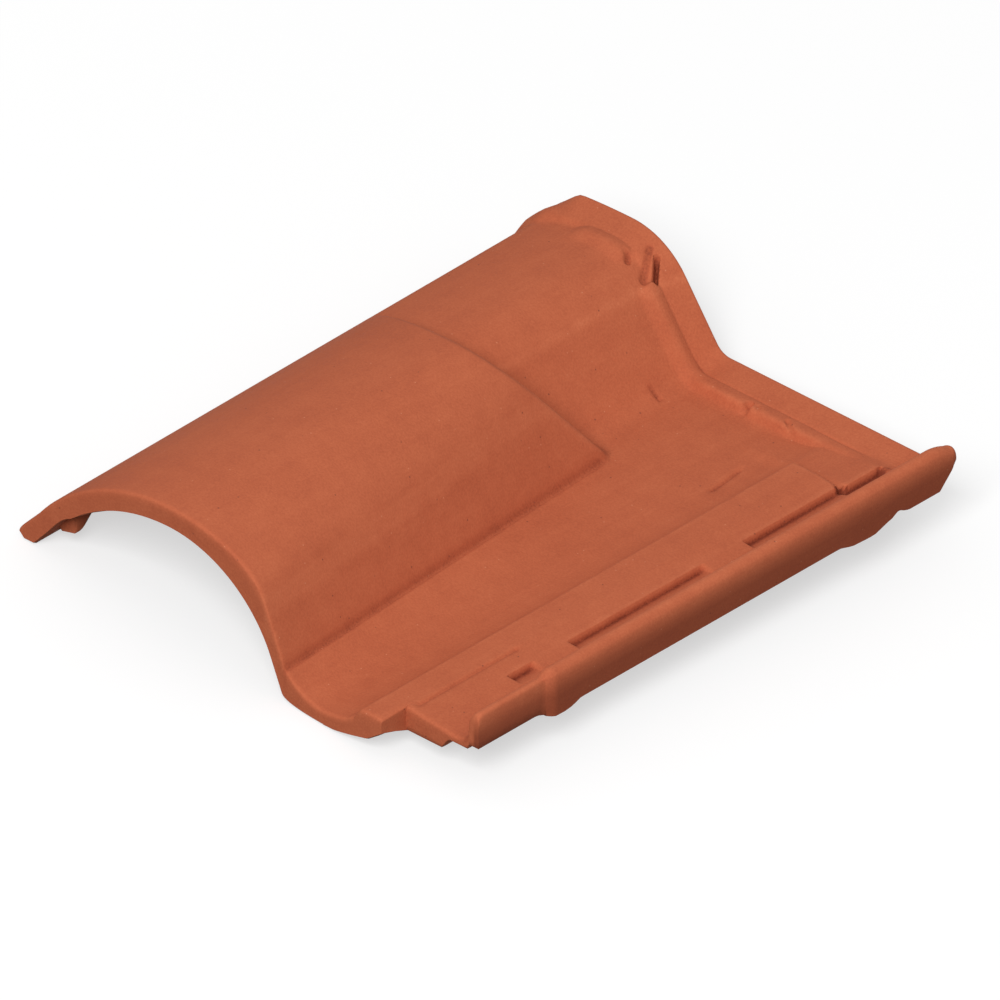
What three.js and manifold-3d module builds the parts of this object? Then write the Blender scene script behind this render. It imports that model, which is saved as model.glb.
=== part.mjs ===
// An interlocking clay roof tile with a wide roll and a pan, pressed and fired as one piece.
// Millimetres. In the tile's own section X runs from the roll's lip to the side lock's upstand,
// Y from the tail to the head, and Z up. The finished tile is then laid down as it rests on a level floor.
import * as THREE from "three";
import { mergeVertices } from "three/addons/utils/BufferGeometryUtils.js";
import { ConvexHull } from "three/addons/math/ConvexHull.js";
import Module from "manifold-3d";

const wasm = await Module();
wasm.setup();

// ---------------------------------------------------------------- driving dimensions
const LENGTH = 420;
const WIDTH = 342;
const mix = THREE.MathUtils.lerp;
const radians = THREE.MathUtils.degToRad;
const fromHead = (distance) => LENGTH - distance;
const fromSide = (inset) => WIDTH - inset;

const ROLL = {
  wall: 14,
  crestX: 115.6,
  crestDrift: -4, // how far the crest moves sideways from tail to head
  crestZ: 95,
  leftRadius: 130,
  shoulderDrop: 31, // crest down to where the straight right flank starts
  flankAngle: 67,
  flankWall: 9.4,
};
const CREASE = {
  // where the roll's flank meets the pan, at the tail and where the wide roll ends
  tailX: 207,
  tailZ: 25,
  stepX: 174,
  stepY: fromHead(114),
};
const STEP_LEAN = 0.79; // how far the wide roll's end leans back for each millimetre of height
// The curve in which the hollow under the roll runs out.
const HOLLOW_FOOT = { rise: 7, lead: 3, leadRise: 1.2, reach: 38 };
const NECK = {
  // the narrower roll at the head, which the next tile's tail covers
  wall: 12,
  blendX: 28,
  crestX: 84,
  crestZ: 75,
  crownRadius: 43,
  flankAngle: 54.5,
  footFillet: 20,
};
const PAN = {
  floorZ: 11.5,
  troughShare: 0.56, // the lowest line's place between the crease and the right edge
  troughZ: 10.3,
  edgeX: fromSide(83),
  edgeZ: 17,
  undersideZ: 0.3,
  undersideRise: 2, // how far the curve up to the side lock's underside is lifted in its middle
};
const TROUGH_X = mix(CREASE.tailX, PAN.edgeX, PAN.troughShare);
const SHELF = {
  startX: fromSide(77),
  ridgeX: fromSide(58),
  topZ: 24,
  length: fromHead(60),
  endSlope: 5,
  endDrop: 3,
};
const BAY = {
  // the lower level between the shelf's end and the head rib
  startX: fromSide(96),
  ridgeX: fromSide(44),
  shelfZ: 20,
  headZ: 17.5,
};
const CHANNEL = {
  x: fromSide(24),
  shelfZ: 20.5,
  headZ: 16,
  runOutZ: 35, // where the channel's curve meets the upstand
  undersideX: fromSide(63),
  undersideZ: 7.8,
  dripX: fromSide(33.5), // past this the underside is hollowed as a drip groove
  dripZ: 15.5,
  dripSlope: 7.5,
  dripEnd: fromHead(75),
};
const UPSTAND = {
  thickness: 11,
  topZ: 45,
  bottomZ: 18.8,
  end: fromHead(4),
  fall: 3.5, // how much lower the top is where the round end starts
  fallLength: 15,
  leanZ: 35.7, // below this the end leans back
  lean: 1, // millimetres back for each one down
  inset: 3.5,
  insetLength: 75,
  insetSlope: 5.5,
};
const LIP = { edgeZ: 31.5, joinX: 14, bottomX: 11, bottomZ: 24.4, chamfer: 3.5, underX: 22 };
const LIP_RIB = {
  // under the lip, deepest near the tail and shallow from there to the head
  start: 12,
  deepEnd: 16,
  shallowStart: 30,
  end: fromHead(35),
  x: 21,
  width: 12,
  deepZ: 32.5,
  shallowZ: 42,
  slope: 0.25,
};
const NOTCH = { x: fromSide(60), depth: 20, chamferWidth: 14, chamferZ: 4, chamferTop: 14 };
// Across the head lock: distances from the head edge and the share of the lift reached there.
const HEAD_RIM = {
  profile: [
    [22, 0],
    [20.5, 0.68],
    [18.5, 0.68],
    [16, 0.84],
    [0, 1],
  ],
  lift: 7,
  leftLift: 3.8,
  panLift: 9.3,
  blendX: 44,
  leftX: 8,
  leftStart: fromHead(15), // left of the head rib the rim is narrower
};
const HEAD_RIB = {
  profile: [
    [32, 0],
    [24, 1],
    [22, 1],
    [20.5, 0],
  ],
  lift: 7,
  leftLift: 4,
  panLift: 8.5,
  blendX: NECK.blendX,
  leftX: LIP.joinX,
};
const RIB_RUNS = [
  [54, 102],
  [116, 196],
  [fromSide(140), fromSide(134)],
  [fromSide(128), fromSide(111)],
  [fromSide(105), fromSide(42)],
];
const SHOULDER_SLOT = {
  startX: 121.5,
  startY: fromHead(22),
  endX: 112.8,
  endY: fromHead(11),
  width: 3,
  depth: 6,
};
const POCKET = { x: fromSide(42), width: 12, depth: 4, taper: 2.5 };
const SHELF_POCKETS = [
  [fromHead(335), fromHead(314)],
  [fromHead(285), fromHead(173)],
  [fromHead(140), fromHead(62)],
];
const BAY_POCKET = [fromHead(58), fromHead(31)];
const EDGE = { width: 9, slope: 2, blend: 8 };
const EDGE_LUGS = [
  { start: 71, end: 101, depth: 3.1 },
  { start: fromHead(102), end: fromHead(64), depth: 3.6 },
];
const EDGE_NOTCH = { start: fromHead(62), end: fromHead(46), depth: 3.2 };
const NIB = { start: fromHead(48), length: 20, bottomZ: -5, width: 24, draft: 5 };
const NIB_STARTS = [fromSide(100), fromSide(58)];
const UNDER_CHAMFER = 6;
const LIP_TOP = 60; // inside the roll's wall above the lip rib
const BELOW = -30; // a level lower than every part of the tile
const ABOVE = ROLL.crestZ + ROLL.wall; // and one higher than every part
const OVERLAP = 0.2; // how deep pieces of the section reach into each other
const CURVE_STEPS = 12;
const END_TURNS = [18, 36, 54, 72, 88]; // degrees round the upstand's end
const STATIONS = 6; // lengths the tail side is built in
const SAME_POINT = 1e-3;

const CLAY = new THREE.MeshStandardMaterial({ color: 0xb66243, roughness: 0.85, metalness: 0 });

// ---------------------------------------------------------------- solids from rings of points
// A closed solid through a row of rings, all with as many points as the flat outline that gives the caps.
function skin(rings, outline) {
  const n = outline.length;
  const last = (rings.length - 1) * n;
  const clockwise = THREE.ShapeUtils.isClockWise(outline);
  const faces = [];
  for (const triangle of THREE.ShapeUtils.triangulateShape(outline, [])) {
    const [a, b, c] = clockwise ? triangle.toReversed() : triangle;
    faces.push([a, c, b], [last + a, last + b, last + c]);
  }
  for (let start = 0; start < last; start += n) {
    for (let i = 0; i < n; i += 1) {
      const a = start + i;
      const b = start + ((i + 1) % n);
      faces.push([a, b, b + n], [a, b + n, a + n]);
    }
  }
  const points = rings.flat();
  const volume = faces.reduce((sum, [a, b, c]) => {
    const cross = new THREE.Vector3().crossVectors(points[b], points[c]);
    return sum + points[a].dot(cross);
  }, 0);
  if (volume < 0) {
    faces.forEach((face) => face.reverse());
  }
  const geometry = new THREE.BufferGeometry().setFromPoints(points);
  geometry.setIndex(faces.flat());
  return asSolid(geometry);
}

// Points that lie on each other become one, and the faces that they close up are left out.
function asSolid(geometry) {
  const merged = mergeVertices(geometry, SAME_POINT);
  const index = merged.index.array;
  const triVerts = [];
  for (let i = 0; i < index.length; i += 3) {
    const face = [index[i], index[i + 1], index[i + 2]];
    if (new Set(face).size === 3) {
      triVerts.push(...face);
    }
  }
  const vertProperties = merged.attributes.position.array;
  const mesh = new wasm.Mesh({ numProp: 3, vertProperties, triVerts: new Uint32Array(triVerts) });
  return new wasm.Manifold(mesh);
}

// The points of a path, each once, and as many for every path that is made in the same way.
function pointsOf(path) {
  const curves = path.curves.filter((curve) => curve.getLength() > SAME_POINT);
  const stepsOf = (curve) => (curve.isLineCurve ? 1 : CURVE_STEPS);
  const starts = curves.flatMap((curve) => curve.getPoints(stepsOf(curve)).slice(0, -1));
  return [...starts, curves.at(-1).getPoint(1)];
}

// A solid whose X-Z outline changes along Y: outlineAt(y) gives a THREE.Path for each station.
function loft(stations, outlineAt) {
  const flats = stations.map((y) => pointsOf(outlineAt(y)));
  const rings = flats.map((flat, j) => flat.map((p) => new THREE.Vector3(p.x, stations[j], p.y)));
  return skin(rings, flats[0]);
}

const box = (x0, x1, z0, z1) => [
  [x0, z0],
  [x0, z1],
  [x1, z1],
  [x1, z0],
];

// A straight bar along Y with a fixed X-Z outline.
function bar(corners, from, to) {
  const path = new THREE.Path(corners.map(([x, z]) => new THREE.Vector2(x, z)));
  return loft([from, to], () => path);
}

// A prism across the tile, from one X to another, with a fixed Y-Z outline.
function crossBar(corners, from, to) {
  const outline = corners.map(([y, z]) => new THREE.Vector2(y, z));
  const rings = [from, to].map((x) => corners.map(([y, z]) => new THREE.Vector3(x, y, z)));
  return skin(rings, outline);
}

// An upright prism with a fixed plan outline.
function post(corners, from, to) {
  const outline = corners.map(([x, y]) => new THREE.Vector2(x, y));
  const rings = [from, to].map((z) => corners.map(([x, y]) => new THREE.Vector3(x, y, z)));
  return skin(rings, outline);
}

// ---------------------------------------------------------------- the roll's section along the tile
const along = (y) => Math.min(y / CREASE.stepY, 1);
const crestXAt = (y) => ROLL.crestX + (ROLL.crestDrift * y) / LENGTH;
const creaseXAt = (y) => mix(CREASE.tailX, CREASE.stepX, along(y));
const creaseZAt = (y) => mix(CREASE.tailZ, PAN.floorZ, along(y));
const arcCentreZ = ROLL.crestZ - ROLL.leftRadius;
const UPSTAND_X = WIDTH - UPSTAND.thickness;

// The left side of the roll, from a point at fromX up to one at toX, on a radius about the roll's axis.
function leftArc(path, y, radius, fromX, toX) {
  const x = crestXAt(y);
  const angleAt = (at) => Math.acos((at - x) / radius);
  path.lineTo(fromX, arcCentreZ + radius * Math.sin(angleAt(fromX)));
  path.absarc(x, arcCentreZ, radius, angleAt(fromX), angleAt(toX), true);
}

function rollOutline(y) {
  const path = new THREE.Path();
  const x = crestXAt(y);
  const creaseX = creaseXAt(y);
  const creaseZ = creaseZAt(y);
  const shoulderZ = ROLL.crestZ - ROLL.shoulderDrop;
  const steep = radians(ROLL.flankAngle);
  const shoulderX = creaseX - (shoulderZ - creaseZ) / Math.tan(steep);
  const reach = (shoulderX - x) / 2;
  path.moveTo(0, BELOW);
  path.lineTo(0, LIP.edgeZ);
  leftArc(path, y, ROLL.leftRadius, LIP.joinX, x);
  path.bezierCurveTo(
    x + reach,
    ROLL.crestZ,
    shoulderX - (reach / 2) * Math.cos(steep),
    shoulderZ + (reach / 2) * Math.sin(steep),
    shoulderX,
    shoulderZ,
  );
  path.lineTo(creaseX, creaseZ);
  path.lineTo(creaseX, BELOW);
  return path;
}

// The hollow under the wide roll.
function rollHollow(y) {
  const path = new THREE.Path();
  const x = crestXAt(y);
  const steep = radians(ROLL.flankAngle);
  const crownZ = ROLL.crestZ - ROLL.wall;
  const flank = creaseXAt(y) * Math.sin(steep) + creaseZAt(y) * Math.cos(steep) - ROLL.flankWall;
  const radius = (flank - x * Math.sin(steep) - crownZ * Math.cos(steep)) / (1 - Math.cos(steep));
  const footZ = PAN.undersideZ + HOLLOW_FOOT.rise;
  const footX = (flank - footZ * Math.cos(steep)) / Math.sin(steep);
  const endX = footX + HOLLOW_FOOT.reach;
  path.moveTo(LIP.bottomX, BELOW);
  path.lineTo(LIP.bottomX, LIP.bottomZ);
  leftArc(path, y, ROLL.leftRadius - ROLL.wall, LIP.underX, x);
  path.absarc(x, crownZ - radius, radius, Math.PI / 2, Math.PI / 2 - steep, true);
  path.lineTo(footX, footZ);
  const leadX = footX + HOLLOW_FOOT.lead;
  const leadZ = PAN.undersideZ + HOLLOW_FOOT.leadRise;
  path.quadraticCurveTo(leadX, leadZ, endX, PAN.undersideZ);
  path.lineTo(endX, BELOW);
  return path;
}

// ---------------------------------------------------------------- the body: neck, pan and side lock
const neckSteep = radians(NECK.flankAngle);

// The neck from its left arc over the crown and down the right flank to the pan, lifted off its outer face
// or, with a negative lift, sunk into it.
function neckCurve(path, y, { lift, leftLift, footZ, leftX, blendX }) {
  const radius = NECK.crownRadius + lift;
  const crestZ = NECK.crestZ + lift;
  const centreZ = NECK.crestZ - NECK.crownRadius;
  leftArc(path, y, ROLL.leftRadius + leftLift, leftX, blendX);
  path.quadraticCurveTo((blendX + NECK.crestX) / 2, crestZ, NECK.crestX, crestZ);
  path.absarc(NECK.crestX, centreZ, radius, Math.PI / 2, Math.PI / 2 - neckSteep, true);
  const tangentX = NECK.crestX + radius * Math.sin(neckSteep);
  const tangentZ = centreZ + radius * Math.cos(neckSteep);
  const fillet = NECK.footFillet - lift;
  const drop = tangentZ - footZ - fillet * (1 - Math.cos(neckSteep));
  const filletX = tangentX + drop / Math.tan(neckSteep);
  const centreX = filletX + fillet * Math.sin(neckSteep);
  path.absarc(centreX, footZ + fillet, fillet, -Math.PI / 2 - neckSteep, -Math.PI / 2, false);
}

function bodyOutline(y) {
  const path = new THREE.Path();
  const creaseX = creaseXAt(y);
  const creaseZ = creaseZAt(y);
  const troughZ = mix(PAN.troughZ, PAN.floorZ, along(y));
  path.moveTo(0, BELOW);
  path.lineTo(0, LIP.edgeZ);
  const top = { lift: 0, leftLift: 0, footZ: PAN.floorZ, leftX: LIP.joinX, blendX: NECK.blendX };
  neckCurve(path, y, top);
  path.lineTo(creaseX, creaseZ);
  const reach = TROUGH_X - creaseX;
  path.bezierCurveTo(
    creaseX + reach * 0.3,
    mix(creaseZ, troughZ, 0.6),
    creaseX + reach * 0.6,
    troughZ,
    TROUGH_X,
    troughZ,
  );
  path.quadraticCurveTo((TROUGH_X + PAN.edgeX) / 2, troughZ, PAN.edgeX, PAN.edgeZ - 2);
  path.lineTo(SHELF.startX, CHANNEL.headZ);
  path.lineTo(UPSTAND_X + OVERLAP, CHANNEL.headZ);
  path.lineTo(UPSTAND_X + OVERLAP, BELOW);
  return path;
}

// The space under the whole body, from outside the lip to past the upstand.
function underOutline(y) {
  const path = new THREE.Path();
  path.moveTo(-LIP.bottomX, BELOW);
  path.lineTo(-LIP.bottomX, LIP.bottomZ + LIP.chamfer);
  path.lineTo(0, LIP.bottomZ + LIP.chamfer);
  path.lineTo(LIP.chamfer, LIP.bottomZ);
  path.lineTo(LIP.bottomX, LIP.bottomZ);
  neckCurve(path, y, {
    lift: -NECK.wall,
    leftLift: -NECK.wall,
    footZ: PAN.undersideZ,
    leftX: LIP.underX,
    blendX: NECK.blendX + NECK.wall / 2,
  });
  path.lineTo(mix(TROUGH_X, PAN.edgeX, 1 / 3), PAN.undersideZ);
  const riseZ = PAN.undersideZ + PAN.undersideRise;
  path.quadraticCurveTo(PAN.edgeX, riseZ, CHANNEL.undersideX, CHANNEL.undersideZ);
  path.lineTo(UPSTAND_X - UNDER_CHAMFER, CHANNEL.undersideZ);
  path.lineTo(UPSTAND_X, UPSTAND.bottomZ);
  path.lineTo(WIDTH + UPSTAND.thickness, UPSTAND.bottomZ);
  path.lineTo(WIDTH + UPSTAND.thickness, BELOW);
  return path;
}

// The groove under the channel, which keeps water off the batten.
function dripGroove() {
  const corners = [
    [CHANNEL.dripX, BELOW],
    [CHANNEL.dripX, CHANNEL.undersideZ],
    [CHANNEL.dripX + CHANNEL.dripSlope, CHANNEL.dripZ],
    [UPSTAND_X - 1, CHANNEL.dripZ],
    [UPSTAND_X, UPSTAND.bottomZ],
    [UPSTAND_X, BELOW],
  ];
  return bar(corners, -1, CHANNEL.dripEnd);
}

// ---------------------------------------------------------------- the wide roll's end
// Everything on the tail's side of the leaning end, moved back by an inset measured square to it.
function tailSide(inset) {
  const slant = inset * Math.hypot(1, STEP_LEAN);
  const edgeAt = (z) => CREASE.stepY - slant - STEP_LEAN * (z - PAN.floorZ);
  const floor = BELOW - 1;
  const corners = [
    [-1, floor],
    [edgeAt(floor), floor],
    [edgeAt(ABOVE), ABOVE],
    [-1, ABOVE],
  ];
  return crossBar(corners, -1, WIDTH + 1);
}

// ---------------------------------------------------------------- side lock
// Its end slopes down to the bay.
function shelf() {
  const stations = [0, SHELF.length - SHELF.endSlope, SHELF.length];
  return loft(stations, (y) => {
    const drop = y < SHELF.length ? 0 : SHELF.endDrop;
    const path = new THREE.Path();
    path.moveTo(PAN.edgeX, PAN.undersideZ);
    path.lineTo(PAN.edgeX, PAN.edgeZ - drop);
    path.lineTo(SHELF.startX, SHELF.topZ - drop);
    path.lineTo(SHELF.ridgeX, SHELF.topZ - drop);
    path.lineTo(CHANNEL.x, CHANNEL.shelfZ);
    path.quadraticCurveTo(UPSTAND_X - 1, CHANNEL.shelfZ, UPSTAND_X + 1, CHANNEL.runOutZ);
    path.lineTo(UPSTAND_X + 1, PAN.undersideZ);
    return path;
  });
}

// The pan's floor rises gently to the side lock here.
function bay() {
  return loft([SHELF.length - SHELF.endSlope, LENGTH - 1], (y) => {
    const ridgeZ = y < SHELF.length ? BAY.shelfZ : BAY.headZ;
    const path = new THREE.Path();
    path.moveTo(BAY.startX, PAN.undersideZ);
    path.lineTo(BAY.startX, PAN.floorZ - OVERLAP);
    path.lineTo(BAY.ridgeX, ridgeZ);
    path.lineTo(UPSTAND_X + OVERLAP, ridgeZ);
    path.lineTo(UPSTAND_X + OVERLAP, PAN.undersideZ);
    return path;
  });
}

// The top falls a little towards the end, which is half round in plan and domed.
function upstand() {
  const round = UPSTAND.thickness / 2;
  const roundStart = UPSTAND.end - round;
  const domed = END_TURNS.map((turn) => roundStart + round * Math.sin(radians(turn)));
  const fallStart = roundStart - UPSTAND.fallLength;
  const stations = [0, fallStart, mix(fallStart, roundStart, 0.5), roundStart, ...domed];
  return loft(stations, (y) => {
    const past = Math.max(0, y - roundStart);
    const half = Math.sqrt(round * round - past * past);
    const fallShare = THREE.MathUtils.clamp((y - fallStart) / UPSTAND.fallLength, 0, 1);
    const top = UPSTAND.topZ - round - UPSTAND.fall * fallShare * fallShare;
    const path = new THREE.Path();
    path.moveTo(WIDTH - round - half, PAN.undersideZ);
    path.lineTo(WIDTH - round - half, top);
    path.absarc(WIDTH - round, top, half, Math.PI, 0, true);
    path.lineTo(WIDTH - round + half, PAN.undersideZ);
    return path;
  });
}

// A narrow pocket with an upright left wall, whose floor rises to the right, and with tapered ends.
function pocket([from, to], levelAt) {
  const stations = [from, from + POCKET.taper, to - POCKET.taper, to];
  return loft(stations, (y) => {
    const depth = y > from && y < to ? POCKET.depth : -OVERLAP;
    const path = new THREE.Path();
    path.moveTo(POCKET.x, UPSTAND.topZ);
    path.lineTo(POCKET.x, levelAt(POCKET.x, y) - depth);
    path.lineTo(POCKET.x + POCKET.width, levelAt(POCKET.x + POCKET.width, y) + OVERLAP);
    path.lineTo(POCKET.x + POCKET.width, UPSTAND.topZ);
    return path;
  });
}

function pockets() {
  const shelfAt = (x) => {
    const share = (x - SHELF.ridgeX) / (CHANNEL.x - SHELF.ridgeX);
    return mix(SHELF.topZ, CHANNEL.shelfZ, share);
  };
  const bayStart = SHELF.length - SHELF.endSlope;
  const bayAt = (x, y) => mix(BAY.shelfZ, BAY.headZ, (y - bayStart) / (LENGTH - bayStart));
  return [...SHELF_POCKETS.map((run) => pocket(run, shelfAt)), pocket(BAY_POCKET, bayAt)];
}

// ---------------------------------------------------------------- head lock
// The body's own upper face at the head, lifted: over the neck by one height and over the pan by another.
function headOutline(share, { lift, leftLift, panLift, blendX, leftX }) {
  const path = new THREE.Path();
  const footZ = PAN.floorZ + panLift * share;
  path.moveTo(leftX, BELOW);
  neckCurve(path, LENGTH, { lift: lift * share, leftLift: leftLift * share, footZ, leftX, blendX });
  path.lineTo(UPSTAND_X + OVERLAP, footZ);
  path.lineTo(UPSTAND_X + OVERLAP, BELOW);
  return path;
}

function headBand(band) {
  const shares = new Map(band.profile.map(([distance, share]) => [fromHead(distance), share]));
  return loft([...shares.keys()], (y) => headOutline(shares.get(y), band));
}

function headRim() {
  const front = bar(box(0, RIB_RUNS[0][0], BELOW, ABOVE), 0, HEAD_RIM.leftStart);
  return headBand(HEAD_RIM).subtract(front);
}

function headRib() {
  const whole = headBand(HEAD_RIB);
  const acrossRun = ([from, to]) => bar(box(from, to, BELOW, ABOVE), 0, LENGTH);
  const runs = RIB_RUNS.map((run) => whole.intersect(acrossRun(run)));
  return wasm.Manifold.union(runs);
}

// A deep slot on the roll's right shoulder, through the head rib and rim.
function shoulderSlot() {
  const { startX, startY, endX, endY, width, depth } = SHOULDER_SLOT;
  const side = new THREE.Vector2(endY - startY, startX - endX).setLength(width / 2);
  const corners = [
    [startX + side.x, startY + side.y],
    [endX + side.x, endY + side.y],
    [endX - side.x, endY - side.y],
    [startX - side.x, startY - side.y],
  ];
  const share = 1 - depth / HEAD_RIM.lift;
  const floor = loft([CREASE.stepY, LENGTH], () => headOutline(share, HEAD_RIM));
  return post(corners, BELOW, ABOVE).subtract(floor);
}

// ---------------------------------------------------------------- small features
function nib(x) {
  const top = PAN.floorZ - 1;
  const ring = (z, slope) =>
    [
      [x + slope / 2, NIB.start],
      [x + NIB.width - slope / 2, NIB.start],
      [x + NIB.width - slope / 2, NIB.start + NIB.length - slope],
      [x + slope / 2, NIB.start + NIB.length - slope],
    ].map(([px, py]) => new THREE.Vector3(px, py, z));
  const outline = ring(0, 0).map((p) => new THREE.Vector2(p.x, p.y));
  return skin([ring(NIB.bottomZ, NIB.draft), ring(top, 0)], outline);
}

function lipRib() {
  const { x, width, slope, start, deepEnd, shallowStart, end, deepZ, shallowZ } = LIP_RIB;
  return loft([start, deepEnd, shallowStart, end], (y) => {
    const z = y > deepEnd ? shallowZ : deepZ;
    const path = new THREE.Path();
    path.moveTo(x, z);
    path.lineTo(x + width, z + width * slope);
    path.lineTo(x + width, LIP_TOP);
    path.lineTo(x, LIP_TOP - width);
    return path;
  });
}

// A run along the lower outer edge, which stands down from it or cuts up into it, with long slopes.
function edgeRun({ start, end, depth }, direction, outerX) {
  const inner = WIDTH - EDGE.width;
  const rootZ = UPSTAND.bottomZ - direction * EDGE.slope;
  const stations = [start, start + EDGE.blend, end - EDGE.blend, end];
  return loft(stations, (y) => {
    const z = UPSTAND.bottomZ + direction * (y > start && y < end ? depth : -OVERLAP);
    const path = new THREE.Path();
    path.moveTo(inner, rootZ);
    path.lineTo(inner + EDGE.slope, z);
    path.lineTo(outerX, z);
    path.lineTo(outerX, rootZ);
    return path;
  });
}

// What is missing at the tail's right corner, where the next tile's lip comes.
function notch() {
  const corners = [
    [NOTCH.x - NOTCH.chamferWidth, BELOW],
    [NOTCH.x - NOTCH.chamferWidth, NOTCH.chamferZ],
    [NOTCH.x, NOTCH.chamferTop],
    [NOTCH.x, ABOVE],
    [WIDTH + 1, ABOVE],
    [WIDTH + 1, BELOW],
  ];
  return bar(corners, -1, NOTCH.depth);
}

// The upstand's outer face is set back near the tail, with a slope to the rest.
function insetCut() {
  const slopeEnd = UPSTAND.insetLength + UPSTAND.insetSlope;
  const corners = [
    [WIDTH - UPSTAND.inset, -1],
    [WIDTH - UPSTAND.inset, UPSTAND.insetLength],
    [WIDTH, slopeEnd],
    [WIDTH + 1, slopeEnd],
    [WIDTH + 1, -1],
  ];
  return post(corners, BELOW, ABOVE);
}

// The lower half of the upstand's end leans back towards the tail.
function upstandLean() {
  const back = (UPSTAND.leanZ - BELOW) * UPSTAND.lean;
  const corners = [
    [UPSTAND.end, UPSTAND.leanZ],
    [UPSTAND.end - back, BELOW],
    [LENGTH + 1, BELOW],
    [LENGTH + 1, UPSTAND.leanZ],
  ];
  return crossBar(corners, UPSTAND_X, WIDTH + 1);
}

// ---------------------------------------------------------------- the tile
function tileSolid() {
  const steps = Array.from({ length: STATIONS + 1 }, (_, i) => i / STATIONS);
  const stations = (from, to) => steps.map((share) => mix(from, to, share));
  const added = [
    loft([...stations(0, CREASE.stepY), LENGTH], bodyOutline),
    loft(stations(0, CREASE.stepY), rollOutline).intersect(tailSide(0)),
    shelf(),
    bay(),
    upstand(),
    headRim(),
    headRib(),
  ];
  const hollows = [
    loft([-1, ...stations(0, CREASE.stepY), LENGTH + 1], underOutline),
    loft([-1, ...stations(0, CREASE.stepY)], rollHollow).intersect(tailSide(ROLL.wall)),
  ];
  const lugs = EDGE_LUGS.map((lug) => edgeRun(lug, -1, WIDTH));
  const beneath = [lipRib(), ...NIB_STARTS.map(nib), ...lugs];
  const cuts = [
    dripGroove(),
    ...pockets(),
    shoulderSlot(),
    notch(),
    insetCut(),
    edgeRun(EDGE_NOTCH, 1, WIDTH + 1),
    upstandLean(),
  ];
  const { union } = wasm.Manifold;
  return union(added).subtract(union(hollows)).add(union(beneath)).subtract(union(cuts));
}

// ---------------------------------------------------------------- laid on the floor
function asGeometry(made) {
  const mesh = made.getMesh();
  const points = new Float32Array(mesh.numVert * 3);
  for (let i = 0; i < mesh.numVert; i += 1) {
    points.set(mesh.vertProperties.subarray(i * mesh.numProp, i * mesh.numProp + 3), i * 3);
  }
  const geometry = new THREE.BufferGeometry();
  geometry.setAttribute("position", new THREE.BufferAttribute(points, 3));
  geometry.setIndex(new THREE.BufferAttribute(mesh.triVerts, 1));
  return geometry;
}

const corner = (geometry, i) => new THREE.Vector3().fromBufferAttribute(geometry.attributes.position, i);

function centreOfMass(geometry) {
  const index = geometry.index.array;
  const centre = new THREE.Vector3();
  let volume = 0;
  for (let i = 0; i < index.length; i += 3) {
    const [a, b, c] = [0, 1, 2].map((k) => corner(geometry, index[i + k]));
    const part = a.dot(new THREE.Vector3().crossVectors(b, c));
    centre.addScaledVector(a.add(b).add(c), part / 4);
    volume += part;
  }
  return centre.divideScalar(volume);
}

// The outward normal of the hull face under the centre of mass, on which the tile comes to rest.
function restingNormal(geometry) {
  const count = geometry.attributes.position.count;
  const points = Array.from({ length: count }, (_, i) => corner(geometry, i));
  const centre = centreOfMass(geometry);
  const down = new THREE.Ray(centre, new THREE.Vector3(0, 0, -1));
  const hit = new THREE.Vector3();
  for (const face of new ConvexHull().setFromPoints(points).faces) {
    const ring = [face.edge, face.edge.next, face.edge.prev].map((edge) => edge.head().point);
    if (face.normal.z < 0 && down.intersectTriangle(ring[0], ring[1], ring[2], false, hit)) {
      return face.normal.clone();
    }
  }
  throw new Error("no hull face lies under the centre of mass");
}

const geometry = asGeometry(tileSolid());
const floorward = new THREE.Vector3(0, 0, -1);
const lay = new THREE.Quaternion().setFromUnitVectors(restingNormal(geometry), floorward);
const tile = new THREE.Mesh(geometry, CLAY);
tile.name = "roof_tile";
tile.quaternion.copy(lay);
tile.updateMatrixWorld(true);
const reach = new THREE.Box3().setFromObject(tile, true);
const middle = reach.getCenter(new THREE.Vector3());
tile.position.set(-middle.x, -middle.y, -reach.min.z);

const group = new THREE.Group();
group.add(tile);

export default group;
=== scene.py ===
"""A clay roof tile on a pale floor: the pressed clay body and its fired finish."""

import math

import bpy
import numpy as np
from mathutils import Matrix, Vector


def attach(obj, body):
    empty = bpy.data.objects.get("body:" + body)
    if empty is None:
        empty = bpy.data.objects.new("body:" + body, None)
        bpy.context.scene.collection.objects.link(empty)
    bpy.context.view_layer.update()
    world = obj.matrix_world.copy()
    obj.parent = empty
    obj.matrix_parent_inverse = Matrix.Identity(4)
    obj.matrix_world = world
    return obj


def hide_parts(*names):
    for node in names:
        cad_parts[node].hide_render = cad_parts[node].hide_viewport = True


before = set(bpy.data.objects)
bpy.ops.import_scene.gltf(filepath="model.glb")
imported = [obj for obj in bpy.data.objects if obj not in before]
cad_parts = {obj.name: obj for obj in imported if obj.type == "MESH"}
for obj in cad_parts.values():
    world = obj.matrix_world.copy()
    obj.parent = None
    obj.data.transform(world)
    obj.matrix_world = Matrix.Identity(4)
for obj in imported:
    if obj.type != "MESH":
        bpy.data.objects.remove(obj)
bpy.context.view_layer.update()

# The tile's own section frame: X from the roll's lip to the side lock, Y from tail to head, Z up.
# TILE_UP is its Z as the tile lies on the floor, and TILE_ORIGIN the place of its corner, in metres.
TILE_UP = Vector((-0.103453, -0.026313, 0.994286))
TILE_ORIGIN = Vector((-0.1672992, -0.2084822, -0.0246227))
LAY = Vector((0, 0, 1)).rotation_difference(TILE_UP).to_matrix()

# ---------------------------------------------------------------- camera
CAMERA_AZIMUTH = math.radians(43.19)  # round the tile's own Z, from its tail towards the side lock
CAMERA_ELEVATION = math.radians(32.47)
CAMERA_TARGET = Vector((0.1456, 0.2434, 0.0))  # in the section frame
FRAME_WIDTH = 0.56757
CAMERA_DISTANCE = 2.0


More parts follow.
